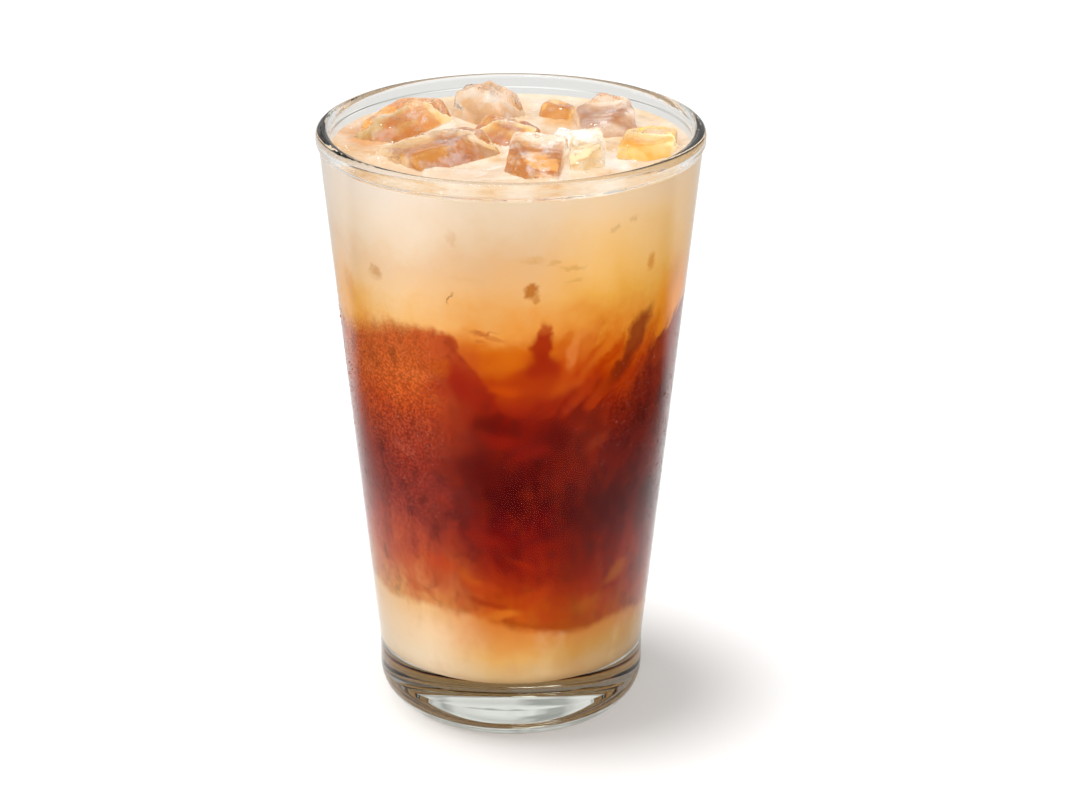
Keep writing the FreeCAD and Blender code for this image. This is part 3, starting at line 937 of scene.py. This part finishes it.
def make_sunk_ice():
    """Tops of sunken ice that break the surface, in one piece."""
    work = bmesh.new()
    for (x, y), size, turns, rise in SUNK_ICE:
        single = bmesh.new()
        bmesh.ops.create_cube(single, size=MM)
        bmesh.ops.bevel(
            single, geom=single.edges[:], offset=SUNK_EDGE * MM, segments=3, profile=0.5, affect="EDGES")
        bmesh.ops.subdivide_edges(single, edges=single.edges[:], cuts=3, use_grid_fill=True)
        lean = Euler([math.radians(turn) for turn in turns]).to_matrix()
        for vertex in single.verts:
            vertex.co = lean @ Vector([part * length for part, length in zip(vertex.co, size)])
            dent = noise.noise(vertex.co * SUNK_DENTS[1] + Vector((x, y, 0)))
            vertex.co += vertex.co.normalized() * SUNK_DENTS[0] * MM * dent
        top = max(vertex.co.z for vertex in single.verts)
        place = Vector((x * MM, y * MM, LEVEL + rise * MM - top))
        for vertex in single.verts:
            vertex.co += place
        join(work, single)
    piece = new_piece("sunk_ice", work, [ice_material("ice_sunk")], 60)
    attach(piece, "root")


def finish_glass():
    """Puts the glass's material on the CAD glass, which is shown as it is."""
    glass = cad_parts["glass"]
    material = glass_material()
    for slot in glass.material_slots:
        slot.material = material


def add_drop(work, centre, outward, radius, bulge):
    """Cap of water or foam on a surface: a point and two rings of six."""
    side = outward.cross(Vector((0, 0, 1)))
    if side.length < 0.1:
        side = Vector((1, 0, 0))
    side.normalize()
    up = outward.cross(side)
    rings = []
    for share, lift in ((0.62, 0.72), (1.0, -0.04)):
        ring = []
        for step in range(6):
            turn = step * math.tau / 6
            along = side * math.cos(turn) + up * math.sin(turn)
            ring.append(work.verts.new(centre + along * radius * share + outward * radius * bulge * lift))
        rings.append(ring)
    tip = work.verts.new(centre + outward * radius * bulge)
    for step in range(6):
        ahead = (step + 1) % 6
        work.faces.new((tip, rings[0][step], rings[0][ahead]))
        work.faces.new((rings[0][step], rings[1][step], rings[1][ahead], rings[0][ahead]))


def mist_at(bearing, z):
    """About the same haze as in the drink's material, for a bearing in degrees and a height in mm."""
    best = 0.0
    for centre, rise, half_width, half_height, *_, strength in MIST:
        away = (bearing - centre + 180) % 360 - 180
        distance = math.hypot(math.radians(away) * WALL_ARM / half_width, (z - rise) / half_height)
        best = max(best, strength * min(max(1.25 - distance, 0), 1))
    return best


def make_condensation():
    """Fine drops on the outer wall, thick where the haze is and thin elsewhere."""
    chance = random.Random(SEED)
    work = bmesh.new()
    made = 0
    while made < DROPLETS:
        bearing = chance.uniform(-180, 180)
        z = chance.uniform(*DROP_HEIGHTS)
        runs = 0.65 + 0.35 * math.sin(bearing * 1.9 + 2 * math.sin(z * 0.05))
        if chance.random() > STRAY_DROPS + mist_at(bearing, z) * runs:
            continue
        turn = math.radians(bearing - 90)
        outward = Vector((math.cos(turn), math.sin(turn), 0))
        hit = GLASS_TREE.ray_cast(outward * 0.2 + Vector((0, 0, z * MM)), -outward)
        radius = (DROP_RADIUS + DROP_SPREAD * chance.random() ** 2) * MM
        if chance.random() < LARGE_DROPS:
            radius *= LARGE_DROP
        add_drop(work, hit[0], hit[1], radius, chance.uniform(0.4, 0.6))
        made += 1
    piece = new_piece("condensation", work, [water_material()], 80)
    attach(piece, "root")


def make_bubbles():
    """Small milk bubbles that gather along the wall and beside the ice."""
    chance = random.Random(SEED + 1)
    work = bmesh.new()
    reach = inner_radius(LEVEL)
    up = Vector((0, 0, 1))
    made = 0
    while made < BUBBLES:
        turn = chance.uniform(0, math.tau)
        radius = chance.uniform(*BUBBLE_RADII) * MM
        far = reach * math.sqrt(chance.random()) - CLEAR_OF_WALL
        x, y = far * math.cos(turn), far * math.sin(turn)
        place = Vector((x, y, LEVEL))
        gap = gap_to_ice(place)
        above = place + up * 20 * MM
        in_ice = any(tree.ray_cast(above, -up)[0] for tree in ICE_TREES.values())
        near = gap < NEAR_ICE or far > reach - NEAR_WALL
        if in_ice or gap < CLEAR_OF_ICE or not near:
            continue
        place.z = surface_height(x, y, reach)
        add_drop(work, place, up, radius, 0.8)
        made += 1
    piece = new_piece("surface_bubbles", work, [foam_material()], 80)
    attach(piece, "root")


def add_camera():
    """Camera that stands in front of the glass and looks a little down on it."""
    camera = bpy.data.cameras.new("camera")
    camera.lens = CAMERA_LENS
    camera.shift_x = CAMERA_SHIFT
    camera.clip_end = 20.0
    holder = bpy.data.objects.new("camera", camera)
    holder.location = CAMERA_PLACE
    holder.rotation_euler = (math.radians(90) - CAMERA_PITCH, 0, 0)
    bpy.context.collection.objects.link(holder)
    bpy.context.scene.camera = holder


def inside_ray(graph, path):
    """1 for a ray that gloss or glass sent on, else 0."""
    return graph.math("MAXIMUM", path.outputs["Is Glossy Ray"], path.outputs["Is Transmission Ray"])


def card_share(graph):
    """Where the dark cards lie: one at each side of the glass and a faint one behind it."""
    x, y, z = graph.axes(graph.place())
    aside = graph.step(graph.math("ABSOLUTE", x), 90.0, 180.0)
    level = graph.step(graph.math("ABSOLUTE", y), 170.0, 90.0, SIDE_CARD)
    behind = graph.step(y, 120.0, 300.0, BACK_CARD)
    return graph.math("MAXIMUM", graph.math("MULTIPLY", aside, level), behind)


def table_material():
    """White that keeps the shadow, with a glow that lifts it to white for the camera."""
    graph = Graph("table_white")
    path = graph.add("ShaderNodeLightPath")
    inside = inside_ray(graph, path)
    card = graph.math("MULTIPLY", card_share(graph), inside)
    seen = graph.math("MAXIMUM", path.outputs["Is Camera Ray"], graph.math("MULTIPLY", inside, GLOW_IN_GLASS))
    seen = graph.math("MULTIPLY", seen, graph.math("SUBTRACT", 1.0, card))
    diffuse = graph.add("ShaderNodeBsdfDiffuse")
    graph.feed(diffuse.inputs["Color"], graph.blend(card, TABLE_COLOUR, CARD_COLOUR))
    glow = graph.add("ShaderNodeEmission")
    graph.feed(glow.inputs["Strength"], graph.math("MULTIPLY", seen, TABLE_GLOW))
    total = graph.add("ShaderNodeAddShader")
    graph.feed(total.inputs[0], diffuse.outputs[0])
    graph.feed(total.inputs[1], glow.outputs[0])
    return graph.finish(total.outputs[0])


def add_floor():
    """White table under the glass."""
    mesh = bpy.data.meshes.new("floor")
    half = TABLE_HALF
    corners = [(-half, -half, 0), (half, -half, 0), (half, half, 0), (-half, half, 0)]
    mesh.from_pydata(corners, [], [(0, 1, 2, 3)])
    floor = bpy.data.objects.new("floor", mesh)
    bpy.context.collection.objects.link(floor)
    mesh.materials.append(table_material())


def background(graph, colour, strength):
    """Plain shader for the surroundings."""
    node = graph.add("ShaderNodeBackground")
    graph.feed(node.inputs["Color"], colour)
    graph.feed(node.inputs["Strength"], strength)
    return node.outputs[0]


def add_world():
    """White surroundings, with a darker band above the horizon that only gloss and glass pick up."""
    graph = Graph("studio", bpy.data.worlds, "ShaderNodeOutputWorld")
    direction = graph.add("ShaderNodeTexCoord").outputs["Generated"]
    height = graph.spread(graph.axes(direction)[2], -1.0, 1.0)
    stops = [(at, [value * tint for tint in SKY_TINT] + [1.0]) for at, value in SKY_STOPS]
    mottle = graph.add("ShaderNodeTexNoise")
    graph.feed(mottle.inputs["Vector"], direction)
    graph.feed(mottle.inputs["Scale"], 5.0)
    patchy = graph.spread(mottle.outputs["Fac"], 0.42, 0.58, *SKY_PATCHES)
    path = graph.add("ShaderNodeLightPath")
    white = (1.0, 1.0, 1.0, 1.0)
    mirrored = background(graph, graph.stops(height, stops), patchy)
    inner = graph.mixed(inside_ray(graph, path), background(graph, white, SKY_LIGHT), mirrored)
    outer = graph.mixed(path.outputs["Is Camera Ray"], inner, background(graph, white, 1.0))
    bpy.context.scene.world = graph.finish(outer)


def add_sun(name, towards, strength, width):
    """Soft sun: the direction towards it, and its width in degrees."""
    lamp = bpy.data.lights.new(name, "SUN")
    lamp.energy = strength
    lamp.angle = math.radians(width)
    holder = bpy.data.objects.new(name, lamp)
    holder.rotation_euler = Vector(towards).to_track_quat("Z", "Y").to_euler()
    bpy.context.collection.objects.link(holder)


finish_glass()
make_drink()
make_ice()
make_sunk_ice()
make_condensation()
make_bubbles()
add_camera()
add_floor()
add_world()
for name, values in SUNS.items():
    add_sun(name, *values)
bpy.context.scene.view_settings.view_transform = "Standard"
